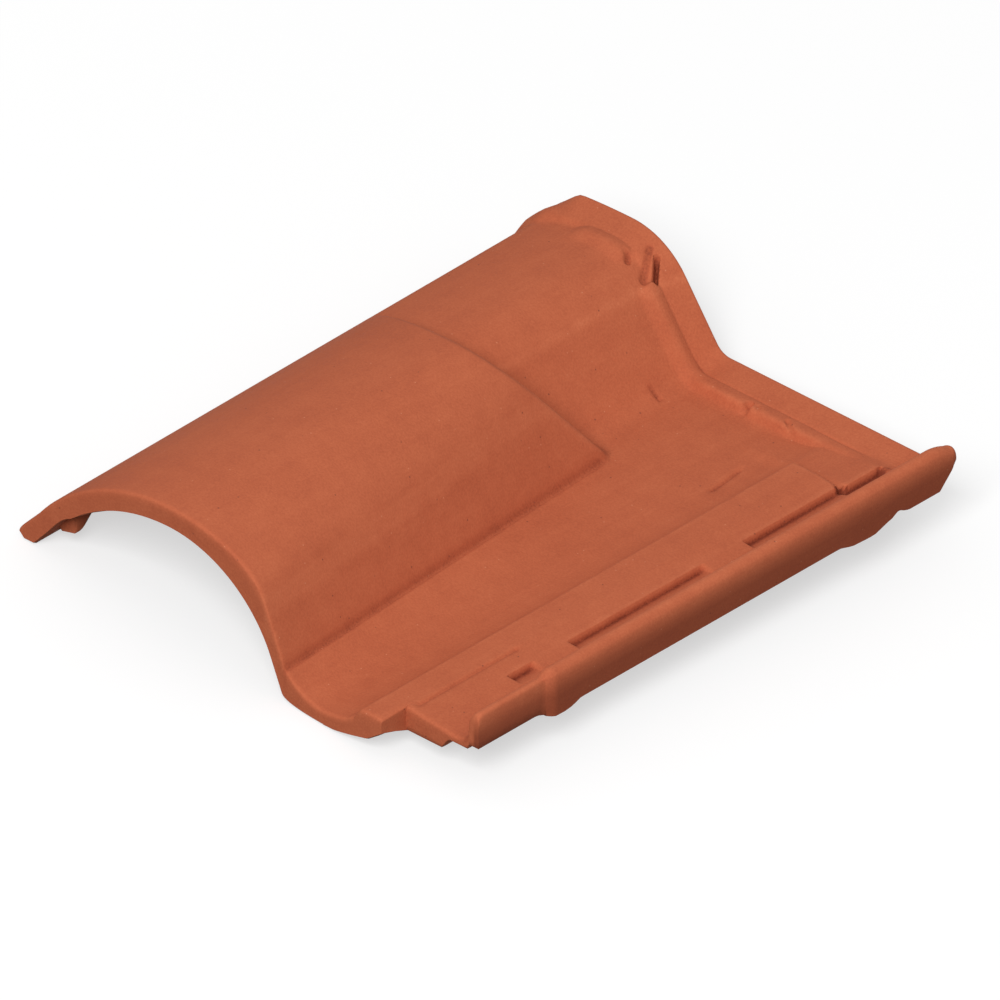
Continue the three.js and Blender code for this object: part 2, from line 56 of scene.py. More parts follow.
def section_direction(azimuth, elevation):
    """Unit vector towards an azimuth and elevation of the tile's section frame, turned as the tile lies."""
    flat = math.cos(elevation)
    return LAY @ Vector((math.sin(azimuth) * flat, -math.cos(azimuth) * flat, math.sin(elevation)))


def make_camera():
    """Camera without perspective, level with the tile's own section frame and not with the floor."""
    right = LAY @ Vector((math.cos(CAMERA_AZIMUTH), math.sin(CAMERA_AZIMUTH), 0))
    back = section_direction(CAMERA_AZIMUTH, CAMERA_ELEVATION)
    up = back.cross(right)
    data = bpy.data.cameras.new("camera")
    data.type = "ORTHO"
    data.ortho_scale = FRAME_WIDTH
    data.clip_end = 20
    camera = bpy.data.objects.new("camera", data)
    bpy.context.scene.collection.objects.link(camera)
    place = LAY @ CAMERA_TARGET + TILE_ORIGIN + back * CAMERA_DISTANCE
    camera.matrix_world = Matrix.Translation(place) @ Matrix((right, up, back)).transposed().to_4x4()
    bpy.context.scene.camera = camera


# ---------------------------------------------------------------- the tile's dimensions, in millimetres
LENGTH, WIDTH = 420.0, 342.0
ROLL = dict(
    wall=14, crest_x=115.6, drift=-4, crest_z=95, radius=130, drop=31, flank=67, flank_wall=9.4, end_round=5.0
)
# The crease at the foot of the roll's flank, with a narrow groove whose distance left of it grows from the tail on.
CREASE = dict(
    tail_x=207, tail_z=25, step_x=174, step_y=306, groove=1.7, groove_width=1.3, groove_left=(0.5, 1.6),
    groove_end=(303, 307),
)
STEP_LEAN = 0.79
END_FOOT = dict(left=(84, 100), tail=(250, 290), right=4)  # where the wide roll's end face meets the neck
FOOT = dict(rise=7, lead=3, lead_rise=1.2, reach=38)  # the curve in which the hollow runs out under the pan
NECK = dict(wall=12, blend_x=28, crest_x=84, crest_z=75, radius=43, flank=54.5, fillet=20)
PAN = dict(floor=11.5, trough_x=236.1, trough_z=10.3, edge_x=259, edge_z=15, under=0.3)
UNDER_RISE = dict(start=243.7, end=279, height=7.8, power=1.25)  # the pan's lower face on its way up to the side lock
SHELF = dict(
    end=360, end_slope=(-1.5, 11), sink=30, line_x=285.6, line=(27, 108), line_depth=1.3, line_width=1.5
)
BAY = dict(
    start=241, ridge=298, start_y=355, lead=14, ridge_z=19.6, ridge_end=394, ridge_fall=(-2, 8), head_z=17.6,
    recess=0.2, sink=14, reach=50,
)
CHANNEL = dict(
    head_z=16, head_reach=4, head_slope=0.4, under=7.8, drip_x=308.5, drip_z=15.5, drip_slope=7.5, drip_end=345
)
UPSTAND = dict(
    thick=11, top=45, bottom=18.8, end=416, fall=3.5, fall_length=15, tail_round=5, tail_fall=0.8, lean_z=35.7,
    lean_slope=3, lean_sink=40,
)
# The upstand's outer face stands back near the tail, and its top is lower there by a share of that depth.
INSET = dict(depth=3.5, end=75, slope=5.5, top_share=0.92)
LIP = dict(edge=31.5, join=14, bottom_x=11, bottom=24.4, chamfer=3.5, under_x=22)
LIP_RIB = dict(
    start=12, deep_end=16, shallow=30, end=385, x=21, width=12, deep_z=32.5, shallow_z=42, slope=0.25
)
NOTCH = dict(x=282, depth=20, chamfer=14, chamfer_z=4, chamfer_top=14)
RIM = dict(lift=7, left_lift=3.8, pan_lift=9.3, blend_x=44, left=(6, 10), front_x=(25, 42))
RIB = dict(lift=3.4, left_lift=4, pan_lift=6.5)
NECK_TO_PAN, PAN_TO_BAY = (148, 168), (238, 268)  # where the head lock passes from one outline to the next
POCKET = dict(width=11, tail_taper=2, head_taper=4.5, wall=(-0.5, 0.3))
# Wedge-shaped pockets beside the channel: start, end, place of the upright wall and depth there.
POCKETS = [
    (85, 107, 300, 4.8),
    (135, 248, 300, 4.6),
    (280, 366, 300, 4.6),
    (357.6, 367.5, 298.4, 7.4),
    (360, 396, 300, 5.4),
]
EDGE = dict(width=9, slope=2)
NIB = dict(start=372, length=20, bottom=-5, width=24, draft=5, front=0.6)
NIB_STARTS = [242, 284]
UNDER_CHAMFER = 6
THINNEST = 3.0  # the least wall between the two faces
EDGE_ROUND = 2.2  # the softened edges of pressed clay
# Heights of the soft hollows where two shapes meet. The one along the roll grows from the lip to the neck.
FILLET = dict(lip=0.2, roll=0.7, roll_x=(30, 60), end_foot=6, shelf=1.8, bay=5.0, channel=2.0, side=1.2, lock=0.6)
DEEP = -60.0  # the height of a shape where it isn't there

# Outlines: places along X or Y, the height or the share of the full height there, and how far corners are softened.
SIDE_LOCK = (
    [240, 259, 260, 265, 284, 318, 322, 326, 329, 331, 332.5, 420],
    [-20, 15, 17.5, 24, 24, 20.5, 20.7, 21.6, 23.8, 27, 34.5, 34.5],
    0.9,
)
RIM_LEFT_ALONG_Y = ([396.5, 399, 405, 408.5, 416, 420], [0, 0.5, 1, 1, 0.62, 0.6], 0.8)
RIM_NECK_ALONG_Y = ([399.8, 402.6, 420], [0, 0.3, 1], 0.8)
RIM_PAN_ALONG_Y = ([398.6, 400.8, 420], [0, 0.63, 1], 0.6)
RIB_NECK_ALONG_Y = ([385.8, 388, 395.5, 398.5, 403.2, 405], [0, 0.08, 0.96, 1, 0.72, 0], 0.9)
RIB_PAN_ALONG_Y = ([385, 388.6, 391.4, 392.8, 395, 400.8, 402], [0, 0.12, 0.88, 0.98, 1, 0.92, 0], 0.7)
RIB_BAY_ALONG_Y = ([374, 383, 388.5, 392.5, 395, 400.8, 402], [0, 0.2, 0.5, 0.94, 1, 0.93, 0], 1.2)
RIB_ALONG_X = ([58, 67, 98.5, 101.5, 115.5, 118.5, 298, 300.5], [0, 0.95, 0.95, 0, 0, 1, 1, 0], 0.6)
EDGE_ALONG_Y = (
    [70, 75, 78.5, 88.5, 95, 101, 316.5, 326.5, 341, 346, 351, 357, 359, 364, 366, 369, 373.5],
    [18.8, 16.8, 15.8, 15.5, 16.4, 18.8, 18.8, 15.8, 15, 15.2, 16.9, 18.8, 19, 21.8, 21.8, 20.2, 18.8],
    0.8,
)
# Short strokes and marks: start, end and width, and then how deep each is pressed in.
STROKES = [
    ((99.8, 398.0), (102.2, 395.3), 3.2, 2.6),
    ((118, 401.5), (111, 410.3), 2.6, 8.0),
    ((113.8, 395.8), (105, 410.7), 4.4, 1.2),
    ((145.8, 368), (153, 367.6), 2.8, 1.6),
    ((238.3, 320.8), (235.3, 345.6), 3.4, 1.6),
]
# The same, with how much painted shade each gets.
SHADED_STROKES = [
    ((118, 401.5), (111, 410.3), 3.4, 1.0),
    ((113.8, 395.8), (105, 410.7), 4.6, 0.66),
    ((285.6, 29), (285.6, 110), 3.4, 0.3),
    ((99.6, 398.2), (102.4, 395.1), 3.6, 0.6),
    ((300.8, 359.8), (302, 364.4), 7.4, 1.0),
    ((301.5, 392.5), (304, 396), 5.0, 0.8),
    ((145.8, 368), (153, 367.6), 3.4, 0.4),
    ((238.3, 320.8), (235.3, 345.6), 3.2, 0.4),
]
# The same, with the share of the head rib's height that each takes away.
RIB_STROKES = [
    ((197.4, 385), (198.4, 394.2), 4.4, 0.6),
    ((209, 388.5), (203.5, 395.5), 3.0, 0.12),
    ((226.5, 395.5), (238, 388), 2.6, 0.24),
]
STROKE_EDGE = (-0.9, 0.8)  # where the slope of a stroke's side begins and ends, past its outline
# Shares of full painted shade: in the crease, for each millimetre of a pocket's depth, and at the foot of the end
# face.
SHADE_SHARES = dict(crease=0.1, pocket=0.14, foot=0.5, foot_reach=2.8)


# ---------------------------------------------------------------- shapes of one or two coordinates
def soft_max(a, b, r):
    """The larger of two heights, with their meeting line filled to a soft hollow r high."""
    share = np.clip(0.5 + 0.5 * (a - b) / r, 0, 1)
    return b + (a - b) * share + r * share * (1 - share)


def soft_min(a, b, r):
    """The smaller of two heights, with their meeting line rounded off."""
    return -soft_max(-a, -b, r)


def ramp(value, start, end):
    """0 before start and 1 after end, with an S-shaped rise in between."""
    share = np.clip((value - start) / (end - start), 0, 1)
    return share * share * (3 - 2 * share)


def run(value, start, end, slope):
    """1 between start and end and 0 outside, with its slopes outside the run."""
    return ramp(value, start - slope, start) * (1 - ramp(value, end, end + slope))


def between(low, high, share):
    """The value a share of the way from low to high."""
    return low + (high - low) * share


HALVINGS = 26


def curve_height(x, points):
    """Height of a cubic curve at x: halves the curve's parameter range until its own x meets the given one."""
    (x0, z0), (x1, z1), (x2, z2), (x3, z3) = points
    low = np.zeros_like(x)
    high = np.ones_like(x)
    for _ in range(HALVINGS):
        t = (low + high) / 2
        s = 1 - t
        behind = s**3 * x0 + 3 * s * s * t * x1 + 3 * s * t * t * x2 + t**3 * x3 < x
        low = np.where(behind, t, low)
        high = np.where(behind, high, t)
    t = (low + high) / 2
    s = 1 - t
    return s**3 * z0 + 3 * s * s * t * z1 + 3 * s * t * t * z2 + t**3 * z3


def soft_outline(at, outline):
    """Height of a jointed outline, with its corners softened by a bell-shaped average. It is worked out at four
    places in each spread, over three spreads to either side."""
    places, heights, spread = outline
    step, reach = spread / 4, 12
    fine = np.arange(places[0] - 4 * spread, places[-1] + 4 * spread, step)
    kernel = np.exp(-0.5 * (np.arange(-reach, reach + 1) / 4) ** 2)
    padded = np.pad(np.interp(fine, places, heights), reach, mode="edge")
    return np.interp(at, fine, np.convolve(padded, kernel / kernel.sum(), "valid"))


def stroke(x, y, start, end, width):
    """1 inside a short narrow stroke and 0 outside, by distance from its middle line."""
    start, end = np.array(start), np.array(end)
    along = end - start
    t = np.clip(((x - start[0]) * along[0] + (y - start[1]) * along[1]) / (along @ along), 0, 1)
    distance = np.hypot(x - start[0] - t * along[0], y - start[1] - t * along[1])
    return 1 - ramp(distance, width / 2 + STROKE_EDGE[0], width / 2 + STROKE_EDGE[1])


def arc_height(x, centre_x, centre_z, radius):
    """Height of the upper half of a circle, and the height of its centre to either side of it."""
    return centre_z + np.sqrt(np.maximum(radius**2 - (x - centre_x) ** 2, 0))


# ---------------------------------------------------------------- the roll
def share_along(y):
    """0 at the tail and 1 from the wide roll's end on."""
    return np.minimum(y / CREASE["step_y"], 1)


def crease_x(y):
    """X of the crease: a straight line from the tail to the wide roll's end, and the same X from there on."""
    return between(CREASE["tail_x"], CREASE["step_x"], share_along(y))


def crease_z(y):
    """Height of the crease: it falls in a straight line from the tail to the pan's floor at the wide roll's end."""
    return between(CREASE["tail_z"], PAN["floor"], share_along(y))


def crest_x(y):
    """X of the wide roll's crest, which drifts in a straight line along the tile."""
    return ROLL["crest_x"] + ROLL["drift"] * y / LENGTH


ARC_Z = ROLL["crest_z"] - ROLL["radius"]
FLANK = math.radians(ROLL["flank"])


def left_height(x, y, lift):
    """The roll's left side: a wide arc about the crest, and a straight slope down to the lip."""
    arc = arc_height(x, crest_x(y), ARC_Z, ROLL["radius"] + lift)
    join_z = arc_height(LIP["join"], crest_x(y), ARC_Z, ROLL["radius"] + lift)
    slope = LIP["edge"] + (join_z - LIP["edge"]) * x / LIP["join"]
    return np.where(x < LIP["join"], slope, arc)


def roll_height(x, y):
    """The wide roll: its left arc, a curve over the right shoulder and the straight steep flank to the crease."""
    crest = crest_x(y)
    foot_x = crease_x(y)
    shoulder_z = ROLL["crest_z"] - ROLL["drop"]
    shoulder_x = foot_x - (shoulder_z - crease_z(y)) / math.tan(FLANK)
    reach = (shoulder_x - crest) / 2
    lead = reach / 2
    shoulder = curve_height(
        np.clip(x, crest, shoulder_x),
        [
            (crest, ROLL["crest_z"]),
            (crest + reach, ROLL["crest_z"]),
            (shoulder_x - lead * math.cos(FLANK), shoulder_z + lead * math.sin(FLANK)),
            (shoulder_x, shoulder_z),
        ],
    )
    flank = shoulder_z - (x - shoulder_x) * math.tan(FLANK)
    return np.where(x < crest, left_height(x, y, 0), np.where(x < shoulder_x, shoulder, flank))


def end_height(y, inset):
    """The wide roll's end leans back: a plane that drops towards the head."""
    slant = inset * math.hypot(1, STEP_LEAN)
    return PAN["floor"] + (CREASE["step_y"] - slant - y) / STEP_LEAN


def hollow_height(x, y):
    """Ceiling of the hollow under the wide roll, one wall inside it: a slope over the lip, an arc on either side of
    the crest and a straight flank, with a rounded foot under the pan."""
    crest = crest_x(y)
    crown = ROLL["crest_z"] - ROLL["wall"]
    sin_f, cos_f = math.sin(FLANK), math.cos(FLANK)
    flank = crease_x(y) * sin_f + crease_z(y) * cos_f - ROLL["flank_wall"]
    radius = (flank - crest * sin_f - crown * cos_f) / (1 - cos_f)
    left = arc_height(x, crest, ARC_Z, ROLL["radius"] - ROLL["wall"])
    right = arc_height(x, crest, crown - radius, radius)
    straight = (flank - x * sin_f) / cos_f
    arc_end = crest + radius * sin_f
    side = np.where(x < arc_end, right, straight)
    inner_z = arc_height(LIP["under_x"], crest, ARC_Z, ROLL["radius"] - ROLL["wall"])
    lip = LIP["bottom"] + (inner_z - LIP["bottom"]) * (x - LIP["bottom_x"]) / (LIP["under_x"] - LIP["bottom_x"])
    ceiling = np.where(x < LIP["under_x"], lip, np.where(x < crest, left, side))
    foot_z = PAN["under"] + FOOT["rise"]
    foot_x = (flank - foot_z * cos_f) / sin_f
    bend = FOOT["reach"] - 2 * FOOT["lead"]
    t = (np.sqrt(FOOT["lead"] ** 2 + bend * np.clip(x - foot_x, 0, FOOT["reach"])) - FOOT["lead"]) / bend
    curve = PAN["under"] + FOOT["rise"] * (1 - t) ** 2 + 2 * FOOT["lead_rise"] * t * (1 - t)
    return np.where(x < foot_x, ceiling, curve)


# ---------------------------------------------------------------- the neck, pan and side lock
def neck_height(x, y, lift, left_lift, foot_z, blend_x):
    """The narrow roll at the head, lifted off its own face by a height: the left arc, a curve up to the crown,
    the crown's arc, the straight flank and a hollow fillet down to the foot."""
    steep = math.radians(NECK["flank"])
    radius = NECK["radius"] + lift
    centre_z = NECK["crest_z"] - NECK["radius"]
    crest_z = NECK["crest_z"] + lift
    left = left_height(x, y, left_lift)
    start_z = left_height(blend_x, y, left_lift)
    t = np.clip((x - blend_x) / (NECK["crest_x"] - blend_x), 0, 1)
    rise = (1 - t) ** 2 * start_z + (1 - (1 - t) ** 2) * crest_z
    crown = arc_height(x, NECK["crest_x"], centre_z, radius)
    tangent_x = NECK["crest_x"] + radius * math.sin(steep)
    tangent_z = centre_z + radius * math.cos(steep)
    flank = tangent_z - (x - tangent_x) * math.tan(steep)
    fillet = NECK["fillet"] - lift
    drop = tangent_z - foot_z - fillet * (1 - math.cos(steep))
    fillet_x = tangent_x + drop / math.tan(steep)
    centre_x = fillet_x + fillet * math.sin(steep)
    hollow = foot_z + fillet - np.sqrt(np.maximum(fillet**2 - (x - centre_x) ** 2, 0))
    height = np.where(x < blend_x, left, rise)
    height = np.where(x < NECK["crest_x"], height, crown)
    height = np.where(x < tangent_x, height, flank)
    height = np.where(x < fillet_x, height, hollow)
    return np.where(x < centre_x, height, foot_z)


def pan_height(x, y):
    """The pan: a cubic curve from the crease down to the trough, and a square law up to its right edge. The trough
    rises to the pan's floor at the wide roll's end."""
    trough_z = between(PAN["trough_z"], PAN["floor"], share_along(y))
    left_x = crease_x(y)
    left_z = crease_z(y)
    reach = PAN["trough_x"] - left_x
    near = curve_height(
        np.clip(x, left_x, PAN["trough_x"]),
        [
            (left_x, left_z),
            (left_x + 0.3 * reach, left_z + 0.6 * (trough_z - left_z)),
            (left_x + 0.6 * reach, trough_z),
            (PAN["trough_x"], trough_z),
        ],
    )
    t = np.clip((x - PAN["trough_x"]) / (PAN["edge_x"] - PAN["trough_x"]), 0, 1)
    far = trough_z + (PAN["edge_z"] - trough_z) * t * t
    return np.where(x < PAN["trough_x"], near, far)


def body_height(x, y):
    """The neck on the left of the crease. On the right the pan, which runs up to a level floor past its edge."""
    neck = neck_height(x, y, 0, 0, PAN["floor"], NECK["blend_x"])
    channel = CHANNEL["head_z"] - CHANNEL["head_slope"] * np.maximum(PAN["edge_x"] - x, 0)
    channel = np.where(x > PAN["edge_x"] - CHANNEL["head_reach"], channel, DEEP)
    low = soft_max(pan_height(x, y), channel, FILLET["channel"])
    return np.where(x < crease_x(y), neck, low)


def head_line(x):
    """Y of the tile's head edge: straight, then back to the upstand's end, which is a half circle."""
    half = UPSTAND["thick"] / 2
    round_end = UPSTAND["end"] - half + arc_height(x, WIDTH - half, 0, half)
    inner = WIDTH - UPSTAND["thick"]
    return LENGTH + (round_end - LENGTH) * ramp(x, inner - 1.2, inner + 0.2)


def right_line(y):
    """X of the tile's right edge: it stands back near the tail, with a slope to the rest."""
    return WIDTH - INSET["depth"] * (1 - np.clip((y - INSET["end"]) / INSET["slope"], 0, 1))


def upstand_height(x, y):
    """The upstand: a half-round top that falls by a square law towards its domed end. It is rounded off by part of
    a quarter circle at the notch, and lower where its outer face stands back."""
    half = UPSTAND["thick"] / 2
    round_start = UPSTAND["end"] - half
    share = np.clip((y - round_start) / UPSTAND["fall_length"] + 1, 0, 1)
    past = np.maximum(y - round_start, 0)
    dome = np.sqrt(np.maximum(half**2 - past**2 - (x - WIDTH + half) ** 2, 0))
    tail = np.clip(1 - (y - NOTCH["depth"]) / UPSTAND["tail_round"], 0, 1)
    tail_drop = UPSTAND["tail_round"] * (1 - np.sqrt(1 - tail**2))
    top = UPSTAND["top"] - half - UPSTAND["fall"] * share**2 + dome - UPSTAND["tail_fall"] * tail_drop
    top = top - INSET["top_share"] * (WIDTH - right_line(y))
    return np.where(x > WIDTH - UPSTAND["thick"], top, DEEP)


def side_height(x, y):
    """The side lock's shelf and channel, less a thin line with a bell-shaped section. They end in a short slope,
    which meets the gentle rise of the bay."""
    line = np.exp(-(((x - SHELF["line_x"]) / SHELF["line_width"]) ** 2)) * run(y, *SHELF["line"], 1.0)
    start, end = SHELF["end_slope"]
    slope = SHELF["sink"] * ramp(y, SHELF["end"] + start, SHELF["end"] + end)
    shelf = soft_outline(x, SIDE_LOCK) - SHELF["line_depth"] * line - slope
    return soft_max(shelf, bay_height(x, y), FILLET["shelf"])


def bay_height(x, y):
    """Past the shelf's end the pan rises gently, in a straight line across, to a ridge beside the channel. Towards
    the tail the bay sinks away below the pan."""
    fall_start, fall_end = BAY["ridge_fall"]
    fall = ramp(y, BAY["ridge_end"] + fall_start, BAY["ridge_end"] + fall_end)
    ridge = between(BAY["ridge_z"], BAY["head_z"], fall)
    share = np.minimum((x - BAY["start"]) / (BAY["ridge"] - BAY["start"]), 1)
    bay = PAN["floor"] - BAY["recess"] + (ridge - PAN["floor"]) * share
    first = BAY["start_y"] - BAY["lead"]
    bay = bay - BAY["sink"] * (1 - ramp(y, first, BAY["start_y"] + BAY["lead"]))
    return np.where((x > BAY["start"] - BAY["reach"]) & (y > first), bay, DEEP)


def head_lock(x, y, top):
    """The head rib and the rim past it: each is the neck's own face lifted by its share of the full lift. The
    shares follow other outlines on the pan and the bay than on the neck, and the rim has its own at the lip."""
    base = neck_height(x, y, 0, 0, PAN["floor"], NECK["blend_x"])
    on_pan, on_bay = ramp(x, *NECK_TO_PAN), ramp(x, *PAN_TO_BAY)
    rib = neck_height(x, y, RIB["lift"], RIB["left_lift"], PAN["floor"] + RIB["pan_lift"], NECK["blend_x"])
    rib_share = between(soft_outline(y, RIB_NECK_ALONG_Y), soft_outline(y, RIB_PAN_ALONG_Y), on_pan)
    rib_share = between(rib_share, soft_outline(y, RIB_BAY_ALONG_Y), on_bay) * soft_outline(x, RIB_ALONG_X)
    for start, end, width, share in RIB_STROKES:
        rib_share = rib_share * (1 - share * stroke(x, y, start, end, width))
    rim = neck_height(x, y, RIM["lift"], RIM["left_lift"], PAN["floor"] + RIM["pan_lift"], RIM["blend_x"])
    rim_share = between(soft_outline(y, RIM_NECK_ALONG_Y), soft_outline(y, RIM_PAN_ALONG_Y), on_pan)
    rim_share = between(soft_outline(y, RIM_LEFT_ALONG_Y), rim_share, ramp(x, *RIM["front_x"]))
    rim_share = rim_share * ramp(x, *RIM["left"])
    lock = soft_max(base + (rib - base) * rib_share, base + (rim - base) * rim_share, 0.5)
    share = rib_share + rim_share
    fillet = FILLET["lock"] * ramp(share, 0, 0.3) + 0.01
    return np.where(share > 0.001, soft_max(top, lock, fillet), top)


def pocket_depth(x, y):
    """Wedge-shaped pockets: an upright left wall, a floor that rises to the right, and tapered ends."""
    depth = np.zeros_like(x)
    foot, brink = POCKET["wall"]
    for start, end, wall, deepest in POCKETS:
        across = np.clip(1 - (x - wall) / POCKET["width"], 0, 1) * ramp(x, wall + foot, wall + brink)
        along = ramp(y, start, start + POCKET["tail_taper"]) * (1 - ramp(y, end - POCKET["head_taper"], end))
        depth = np.maximum(depth, deepest * across * along)
    return depth


def wide_height(x, y):
    """The wide roll, rounded over into its end face."""
    return soft_min(roll_height(x, y), end_height(y, 0), ROLL["end_round"])


def end_foot(x, y, margin):
    """1 over the foot of the wide roll's end face and 0 elsewhere. It runs out a margin before the crease."""
    last = crease_x(y) - margin
    return ramp(x, *END_FOOT["left"]) * ramp(y, *END_FOOT["tail"]) * (1 - ramp(x, last, last + END_FOOT["right"]))


def foot_line(x, y, reach):
    """1 where the end face of the wide roll meets the neck and 0 away from it: a bell-shaped band, by the distance
    along Y between the two faces."""
    away = (wide_height(x, y) - body_height(x, y)) * STEP_LEAN
    return np.exp(-((away / reach) ** 2)) * end_foot(x, y, 5)


def crease_line(x, y):
    """1 along the foot of the wide roll's flank and 0 beside it: a bell-shaped band that follows the crease."""
    beside = (x - crease_x(y) + between(*CREASE["groove_left"], share_along(y))) / CREASE["groove_width"]
    return np.exp(-(beside**2)) * (1 - ramp(y, *CREASE["groove_end"]))


def painted_shade(x, y):
    """How much painted shade a place gets, from 0 to 1: in the crease, at the foot of the wide roll's end, in the
    pockets by their depth, and in strokes. Where several meet, the most counts."""
    held = np.maximum(SHADE_SHARES["crease"] * crease_line(x, y), SHADE_SHARES["pocket"] * pocket_depth(x, y))
    held = np.maximum(held, SHADE_SHARES["foot"] * foot_line(x, y, SHADE_SHARES["foot_reach"]))
    for start, end, width, share in SHADED_STROKES:
        held = np.maximum(held, share * stroke(x, y, start, end, width))
    return held


def top_height(x, y):
    """The tile's upper face: the highest of the neck and pan, the wide roll, the bay, the side lock and the upstand,
    with soft hollows where they meet, the head lock over them, and the groove, pockets and strokes cut in."""
    fillet = FILLET["lip"] + FILLET["roll"] * ramp(x, *FILLET["roll_x"]) + FILLET["end_foot"] * end_foot(x, y, 6)
    top = soft_max(body_height(x, y), wide_height(x, y), fillet)
    top = soft_max(top, bay_height(x, y), FILLET["bay"])
    top = soft_max(top, side_height(x, y), FILLET["side"])
    top = top - CREASE["groove"] * crease_line(x, y)
    top = head_lock(x, y, top)
    top = top - pocket_depth(x, y)
    for start, end, width, depth in STROKES:
        top = top - depth * stroke(x, y, start, end, width)
    return np.maximum(top, upstand_height(x, y))


def under_height(x, y):
    """The tile's lower face: one wall below the neck and the pan, or the hollow under the wide roll where that is
    higher. The drip groove and the notch's chamfer are cut into it. The lip rib, nibs and edge lugs stand on it."""
    lift = -NECK["wall"]
    neck = neck_height(x, y, lift, lift, PAN["under"], NECK["blend_x"] + NECK["wall"] / 2)
    inner_z = left_height(LIP["under_x"], y, lift)
    lip_share = (x - LIP["bottom_x"]) / (LIP["under_x"] - LIP["bottom_x"])
    lip = LIP["bottom"] + (inner_z - LIP["bottom"]) * np.clip(lip_share, 0, 1)
    lip = lip + np.maximum(LIP["chamfer"] - x, 0)
    neck = np.where(x < LIP["under_x"], lip, neck)
    edge = np.clip((x - UNDER_RISE["start"]) / (UNDER_RISE["end"] - UNDER_RISE["start"]), 0, 1)
    rise = between(PAN["under"], UNDER_RISE["height"], edge ** UNDER_RISE["power"])
    inner = WIDTH - UPSTAND["thick"]
    chamfer = np.clip((x - inner + UNDER_CHAMFER) / UNDER_CHAMFER, 0, 1)
    rise = rise + (UPSTAND["bottom"] - CHANNEL["under"]) * chamfer
    under = np.where(x < PAN["trough_x"], neck, rise)
    hollow = np.minimum(hollow_height(x, y), end_height(y, ROLL["wall"]))
    hollow = np.where((x > LIP["bottom_x"]) & (x < PAN["trough_x"]), hollow, DEEP)
    under = np.maximum(under, hollow)
    drip = between(CHANNEL["drip_z"], UPSTAND["bottom"], ramp(x, inner - 1, inner))
    drip_share = ramp(x, CHANNEL["drip_x"], CHANNEL["drip_x"] + CHANNEL["drip_slope"])
    drip_share = drip_share * (1 - ramp(y, CHANNEL["drip_end"], CHANNEL["drip_end"] + 2))
    under = under + np.maximum(drip - under, 0) * drip_share
    deep = between(LIP_RIB["deep_z"], LIP_RIB["shallow_z"], ramp(y, LIP_RIB["deep_end"], LIP_RIB["shallow"]))
    lip_rib = deep + (x - LIP_RIB["x"]) * LIP_RIB["slope"]
    lip_rib_share = run(x, LIP_RIB["x"] + 0.5, LIP_RIB["x"] + LIP_RIB["width"] - 0.5, 1.5)
    lip_rib_share = lip_rib_share * run(y, LIP_RIB["start"], LIP_RIB["end"], 2)
    under = under - np.maximum(under - lip_rib, 0) * lip_rib_share
    for start in NIB_STARTS:
        nib = run(x, start + NIB["draft"] / 2, start + NIB["width"] - NIB["draft"] / 2, NIB["draft"] / 2)
        last = NIB["start"] + NIB["length"] - NIB["draft"]
        nib = nib * run(y, NIB["start"] + NIB["front"], last, NIB["front"])
        under = under - np.maximum(under - NIB["bottom"], 0) * nib
    outer = WIDTH - EDGE["width"]
    lugs = soft_outline(y, EDGE_ALONG_Y) - UPSTAND["bottom"]
    under = under + lugs * ramp(x, outer, outer + EDGE["slope"])
    notch_share = (x - NOTCH["x"] + NOTCH["chamfer"]) / NOTCH["chamfer"]
    notch = between(NOTCH["chamfer_z"], NOTCH["chamfer_top"], notch_share)
    notch = np.where((y < NOTCH["depth"]) & (x > NOTCH["x"] - NOTCH["chamfer"]), notch, DEEP)
    under = np.maximum(under, notch)
    nose = UPSTAND["lean_z"] - (UPSTAND["end"] - y)
    nose = nose - UPSTAND["lean_sink"] * (1 - ramp(x, inner, inner + UPSTAND["lean_slope"]))
    return np.maximum(under, nose)


# ---------------------------------------------------------------- the tile as one closed surface
CLOSEST = 0.24


def lines(spans):
    """Sorted places of grid lines, from spans of start, end and spacing, without those that lie too close to the
    line before."""
    every = np.concatenate([np.arange(start, end + 1e-6, step) for start, end, step in spans])
    every = np.unique(np.round(every, 3))
    return every[np.concatenate([[True], np.diff(every) > CLOSEST])]


# Spans of grid lines of the upper face, with fine ones where the relief is, and of the lower face.
COLUMNS = [
    (0, 342, 3.6), (0, 0.4, 0.4), (1, 2.2, 1.2), (7, 15, 1), (52, 62, 2), (99, 107, 1), (107, 124, 0.7),
    (124, 157, 1.1), (157, 170, 1.6), (170.6, 177.4, 0.62), (193, 240, 1.05), (258.5, 266, 1.2), (281.4, 282.6, 0.4),
    (283.2, 288, 0.6), (298, 300.8, 0.4), (302, 312, 2), (316, 330, 2), (329.7, 332, 0.38), (332, 341, 0.9),
    (341.4, 342, 0.6),
]
ROWS = [
    (0, 420, 3.6), (0, 0.4, 0.4), (1, 2.2, 1.2), (26.5, 27.5, 0.5), (75, 80.5, 1.1), (107.5, 108.5, 0.5),
    (268, 311, 1), (354, 372, 1), (374, 386, 2), (385, 411, 0.7), (411, 418, 1), (418, 420, 0.5),
]
ROWS += [(start - 0.4, start + 3.2, 0.9) for start, _, _, _ in POCKETS]
ROWS += [(end - 3.2, end + 0.4, 0.9) for _, end, _, _ in POCKETS]
UNDER_COLUMNS = [
    (0, 342, 7.5), (0, 2.2, 2.2), (10, 12, 1), (20, 34, 1), (62, 170, 3.7), (170.6, 177.4, 2.4), (281, 283, 0.5),
    (308, 316, 2), (324, 336, 1), (338, 342, 1.3),
]
UNDER_COLUMNS += [(start + side, start + side + 5, 1) for start in NIB_STARTS for side in (-1, 20)]
UNDER_ROWS = [
    (0, 420, 7.5), (0, 2.2, 2.2), (10, 32, 2), (68, 104, 2.5), (262, 314, 2), (315, 375, 2.2), (371, 373, 0.5),
    (385, 394, 1), (400, 420, 2), (417.8, 420, 1.1),
]
